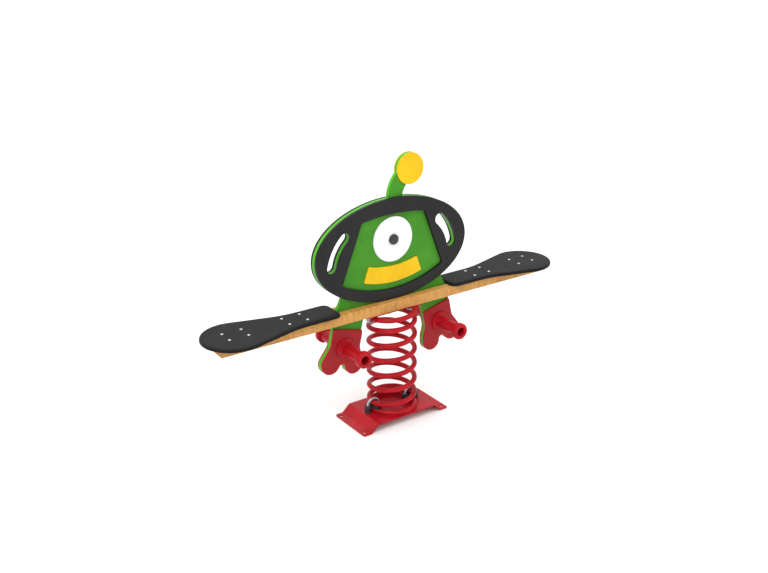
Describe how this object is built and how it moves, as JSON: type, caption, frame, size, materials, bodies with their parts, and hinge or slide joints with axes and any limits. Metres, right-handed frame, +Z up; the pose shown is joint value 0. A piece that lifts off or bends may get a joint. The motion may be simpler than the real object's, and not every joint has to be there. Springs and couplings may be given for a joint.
{
  "type": "spring seesaw",
  "caption": "Playground seesaw on a coil spring: a wooden plank with a seat at each end and a one-eyed character panel with grip slots and foot pegs.",
  "frame": {"origin": "centre of the base plate's footprint, at ground level", "axes": "+X along the plank, -Y out of the front of the character panel, +Z up"},
  "size_m": [1.58, 0.3076, 1.0551],
  "materials": {
    "red_paint": "satin red powder coat on steel",
    "galvanised_steel": "dull galvanised steel",
    "screw_steel": "bare stainless steel screw heads",
    "black_rubber": "matte black rubber",
    "wood": "clear-coated light brown wood with a curly figure",
    "seat_rubber": "dark grey moulded seat board, fine satin texture",
    "dark_sheet": "dark grey coloured sheet, fine satin texture",
    "black_plastic": "black plastic button",
    "white_sheet": "white coloured sheet",
    "yellow_sheet": "yellow coloured sheet",
    "red_sheet": "red coloured sheet",
    "green_sheet": "green coloured sheet",
    "pin_plastic": "grey plastic pins"
  },
  "bodies": {
    "base": {"base_plate": "red_paint", "spring_seat_ring": "red_paint", "clamp_nuts_lower": "galvanised_steel", "clamp_bow_lower_left": "galvanised_steel", "clamp_bow_lower_right": "galvanised_steel", "clamp_sleeve_left_inner": "black_rubber", "clamp_sleeve_left_outer": "black_rubber", "clamp_sleeve_right_inner": "black_rubber", "clamp_sleeve_right_outer": "black_rubber", "saddle_pad_left": "black_rubber", "saddle_pad_right": "black_rubber"},
    "spring": {"coil_spring": "red_paint"},
    "rocker": {"antenna_disc_front": "yellow_sheet", "antenna_disc_rear": "yellow_sheet", "clamp_bow_upper_left": "galvanised_steel", "clamp_bow_upper_right": "galvanised_steel", "clamp_nuts_upper": "galvanised_steel", "cross_bolts": "galvanised_steel", "eye_front": "white_sheet", "eye_rear": "white_sheet", "foot_peg_front_left": "red_paint", "foot_peg_front_right": "red_paint", "foot_peg_rear_left": "red_paint", "foot_peg_rear_right": "red_paint", "glove_front_left": "red_sheet", "glove_front_right": "red_sheet", "glove_rear_left": "red_sheet", "glove_rear_right": "red_sheet", "head_panel": "green_sheet", "mouth_front": "yellow_sheet", "mouth_rear": "yellow_sheet", "panel_pins": "pin_plastic", "peg_bolt_left": "galvanised_steel", "peg_bolt_right": "galvanised_steel", "peg_nut_left": "galvanised_steel", "peg_nut_right": "galvanised_steel", "pupil_front": "black_plastic", "pupil_rear": "black_plastic", "seat_left": "seat_rubber", "seat_right": "seat_rubber", "seat_screws_left": "screw_steel", "seat_screws_right": "screw_steel", "spring_top_plate": "red_paint", "timber_front": "wood", "timber_rear": "wood", "timber_spacer_left": "wood", "timber_spacer_right": "wood", "top_plate_screws": "galvanised_steel", "visor_front": "dark_sheet", "visor_rear": "dark_sheet"}
  },
  "joints": [
    {"name": "rock", "type": "hinge", "parent": "base", "child": "spring", "pos_m": [0, 0, 0.2571], "axis": [0, 1, 0], "range_deg": [-18, 18], "stiffness_Nm_per_rad": 415, "deforming": ["coil_spring"]},
    {"name": "sway", "type": "hinge", "parent": "spring", "child": "rocker", "pos_m": [0, 0, 0.2571], "axis": [1, 0, 0], "range_deg": [-8, 8], "stiffness_Nm_per_rad": 415, "deforming": ["coil_spring"]}
  ]
}
